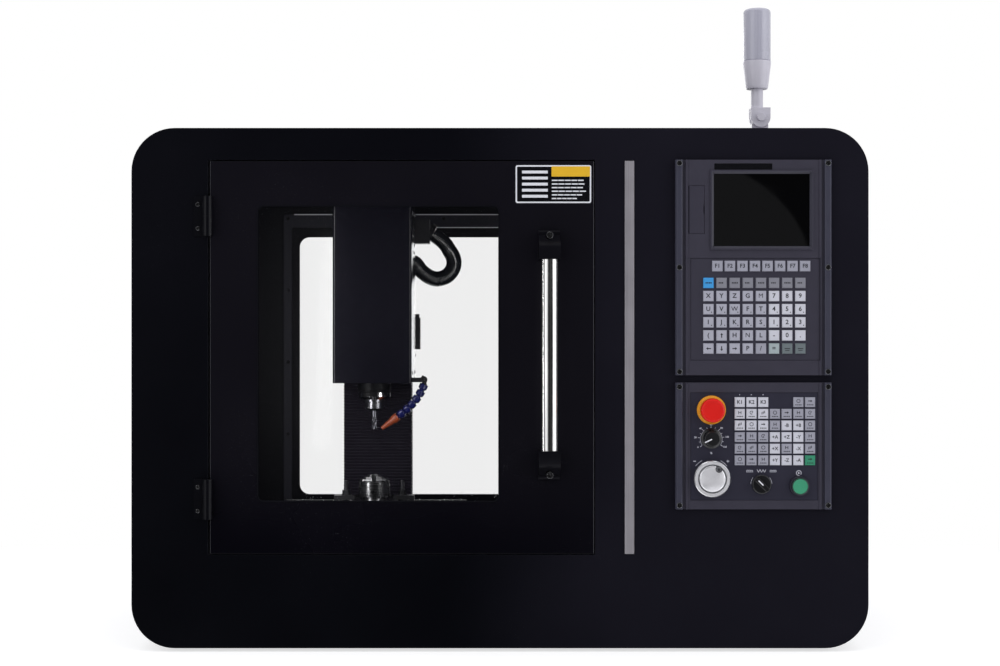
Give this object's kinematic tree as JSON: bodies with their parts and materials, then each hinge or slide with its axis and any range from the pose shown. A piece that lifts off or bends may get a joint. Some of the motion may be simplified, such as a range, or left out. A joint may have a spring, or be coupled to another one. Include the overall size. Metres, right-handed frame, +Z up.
{
  "type": "desktop cnc milling machine",
  "caption": "Enclosed benchtop milling machine with a glazed hinged door, a column mill with a chuck inside, a control panel with keys and knobs, and a folding tower lamp.",
  "frame": {"origin": "on the ground, under the middle of the whole machine's bounding box", "axes": "+X to the operator's right, +Y from the door to the back, +Z up"},
  "size_m": [1.224, 0.8486, 1.126],
  "materials": {
    "cabinet_paint": "fine satin black powder coat",
    "front_paint": "fine satin black powder coat",
    "rear_paint": "satin black powder coat",
    "inner_paint": "dark grey paint",
    "tray_steel": "dark grey paint",
    "door_paint": "fine satin black powder coat",
    "door_pane": "clear polycarbonate",
    "rear_pane": "clear polycarbonate",
    "foot_rubber": "black rubber",
    "machine_casting": "dark grey enamel on cast iron",
    "saddle_casting": "ground and painted cast iron",
    "table_steel": "ground steel",
    "chuck_steel": "turned and ground steel",
    "jaw_steel": "hardened steel",
    "clamp_steel": "blackened steel",
    "motor_black": "black enamel",
    "cover_paint": "satin black powder coat",
    "cartridge_steel": "ground steel",
    "spindle_steel": "turned steel",
    "cutter_steel": "bright carbide",
    "screw_steel": "ground ball screw",
    "switch_plastic": "black plastic",
    "fitting_black": "black plastic fitting",
    "conduit_plastic": "black corrugated plastic",
    "bellows_fabric": "coated cloth pleats",
    "hinge_paint": "satin black",
    "trim_aluminium": "brushed grey anodised",
    "handle_steel": "brushed stainless tube",
    "mount_plastic": "black moulded plastic",
    "panel_grey": "grey coated panel",
    "screen_glass": "dark display glass, opaque",
    "keypad_film": "keys in light and dark grey, blue and green",
    "collar_yellow": "yellow plastic",
    "estop_red": "red plastic",
    "knob_black": "black plastic",
    "wheel_metal": "turned aluminium with black rim",
    "start_green": "green plastic",
    "inlet_black": "black plastic",
    "rocker_red": "red plastic",
    "drive_case": "grey drive cases",
    "hose_blue": "blue plastic",
    "nozzle_orange": "orange plastic",
    "lamp_grey": "light grey plastic",
    "lens_grey": "milky diffuser"
  },
  "bodies": {
    "enclosure": {"outer_skin": "cabinet_paint", "front_panel": "front_paint", "rear_panel": "rear_paint", "rear_window": "rear_pane", "rear_window_frame": "inner_paint", "partition": "inner_paint", "chip_tray": "tray_steel", "feet": "foot_rubber", "base_casting": "machine_casting", "column_casting": "machine_casting", "axis_motors": "motor_black", "z_limit_switch": "switch_plastic", "conduit_bracket": "fitting_black", "cable_conduit": "conduit_plastic", "z_bellows": "bellows_fabric", "hinge_frame_leaves": "hinge_paint", "trim_strip": "trim_aluminium", "display_housing": "panel_grey", "display_screen": "screen_glass", "display_keypad": "keypad_film", "operator_housing": "panel_grey", "operator_keypad": "keypad_film", "estop_collar": "collar_yellow", "drive_units": "drive_case", "mains_inlet": "inlet_black", "lamp_foot": "lamp_grey"},
    "door": {"door_panel": "door_paint", "door_window": "door_pane", "hinge_door_leaves": "hinge_paint", "handle_tube": "handle_steel", "handle_mounts": "mount_plastic"},
    "cross_slide": {"saddle": "saddle_casting"},
    "work_table": {"table": "table_steel", "x_motor": "motor_black", "chuck_body": "chuck_steel", "hold_down_clamps": "clamp_steel"},
    "jaw_rear": {"chuck_jaw_1": "jaw_steel"},
    "jaw_left": {"chuck_jaw_2": "jaw_steel"},
    "jaw_right": {"chuck_jaw_3": "jaw_steel"},
    "head": {"head_casting": "machine_casting", "head_cover": "cover_paint", "spindle_cartridge": "cartridge_steel", "spindle_motor": "motor_black", "coolant_manifold": "fitting_black"},
    "spindle": {"spindle_shaft": "spindle_steel", "end_mill": "cutter_steel"},
    "hose": {"hose_links": "hose_blue"},
    "nozzle": {"hose_nozzle": "nozzle_orange"},
    "x_leadscrew": {"x_screw": "screw_steel"},
    "y_leadscrew": {"y_screw": "screw_steel"},
    "z_leadscrew": {"z_screw": "screw_steel"},
    "estop": {"estop_button": "estop_red"},
    "feed_dial": {"feed_knob": "knob_black"},
    "jog_wheel": {"handwheel": "wheel_metal"},
    "selector": {"mode_selector": "knob_black"},
    "start": {"start_button": "start_green"},
    "port_flap": {"usb_flap": "panel_grey"},
    "mains_switch": {"mains_rocker": "rocker_red"},
    "lamp": {"lamp_stand": "lamp_grey", "lamp_lens": "lens_grey"}
  },
  "joints": [
    {"name": "door_hinge", "type": "hinge", "parent": "enclosure", "child": "door", "pos_m": [-0.484, -0.36845, 0.489], "axis": [0, 0, -1], "range_deg": [0, 115]},
    {"name": "y_axis", "type": "slide", "parent": "enclosure", "child": "cross_slide", "axis": [0, 1, 0], "range_m": [-0.045, 0.045]},
    {"name": "x_axis", "type": "slide", "parent": "cross_slide", "child": "work_table", "axis": [1, 0, 0], "range_m": [-0.1, 0.1]},
    {"name": "jaw_1_slide", "type": "slide", "parent": "work_table", "child": "jaw_rear", "axis": [0, 1, 0], "range_m": [-0.0035, 0.004]},
    {"name": "jaw_2_slide", "type": "slide", "parent": "work_table", "child": "jaw_left", "axis": [-0.866, -0.5, 0], "range_m": [-0.0035, 0.004]},
    {"name": "jaw_3_slide", "type": "slide", "parent": "work_table", "child": "jaw_right", "axis": [0.866, -0.5, 0], "range_m": [-0.0035, 0.004]},
    {"name": "z_axis", "type": "slide", "parent": "enclosure", "child": "head", "axis": [0, 0, 1], "range_m": [-0.075, 0.085], "deforming": ["z_bellows", "cable_conduit"]},
    {"name": "spindle_spin", "type": "hinge", "parent": "head", "child": "spindle", "pos_m": [-0.233, -0.04515, 0.44], "axis": [0, 0, 1], "continuous": true},
    {"name": "hose_swivel", "type": "hinge", "parent": "head", "child": "hose", "pos_m": [-0.141, -0.05715, 0.432], "axis": [0, 1, 0], "range_deg": [-30, 4]},
    {"name": "nozzle_tilt", "type": "hinge", "parent": "hose", "child": "nozzle", "pos_m": [-0.19089, -0.05715, 0.37362], "axis": [0, 1, 0], "range_deg": [-18, 18]},
    {"name": "x_screw_spin", "type": "hinge", "parent": "work_table", "child": "x_leadscrew", "pos_m": [-0.233, -0.04515, 0.178], "axis": [1, 0, 0], "range_deg": [-7200, 7200]},
    {"name": "y_screw_spin", "type": "hinge", "parent": "enclosure", "child": "y_leadscrew", "pos_m": [-0.233, -0.16015, 0.118], "axis": [0, 1, 0], "range_deg": [-3240, 3240]},
    {"name": "z_screw_spin", "type": "hinge", "parent": "enclosure", "child": "z_leadscrew", "pos_m": [-0.233, 0.07985, 0.5], "axis": [0, 0, 1], "range_deg": [-5400, 6120]},
    {"name": "estop_push", "type": "slide", "parent": "enclosure", "child": "estop", "axis": [0, 1, 0], "range_m": [0, 0.006]},
    {"name": "feed_turn", "type": "hinge", "parent": "enclosure", "child": "feed_dial", "pos_m": [0.35, -0.37415, 0.355], "axis": [0, 1, 0], "range_deg": [0, 270]},
    {"name": "handwheel_turn", "type": "hinge", "parent": "enclosure", "child": "jog_wheel", "pos_m": [0.35, -0.37415, 0.289], "axis": [0, 1, 0], "continuous": true},
    {"name": "mode_turn", "type": "hinge", "parent": "enclosure", "child": "selector", "pos_m": [0.433, -0.37415, 0.279], "axis": [0, 1, 0], "range_deg": [0, 90]},
    {"name": "start_push", "type": "slide", "parent": "enclosure", "child": "start", "axis": [0, 1, 0], "range_m": [0, 0.004], "stiffness_N_per_m": 400},
    {"name": "usb_flap_hinge", "type": "hinge", "parent": "enclosure", "child": "port_flap", "pos_m": [0.3148, -0.36415, 0.7338], "axis": [0, 0, -1], "range_deg": [0, 95]},
    {"name": "mains_rocker_turn", "type": "hinge", "parent": "enclosure", "child": "mains_switch", "pos_m": [0.47, 0.41585, 0.16], "axis": [-1, 0, 0], "range_deg": [0, 18]},
    {"name": "lamp_fold", "type": "hinge", "parent": "enclosure", "child": "lamp", "pos_m": [0.479, -0.06015, 0.926], "axis": [0, 1, 0], "range_deg": [-90, 0]}
  ],
  "couplings": [
    {"joint": "jaw_2_slide", "follows": "jaw_1_slide", "ratio": 1},
    {"joint": "jaw_3_slide", "follows": "jaw_1_slide", "ratio": 1},
    {"joint": "x_screw_spin", "follows": "x_axis", "rad_per_m": 1256.6},
    {"joint": "y_screw_spin", "follows": "y_axis", "rad_per_m": 1256.6},
    {"joint": "z_screw_spin", "follows": "z_axis", "rad_per_m": 1256.6}
  ]
}
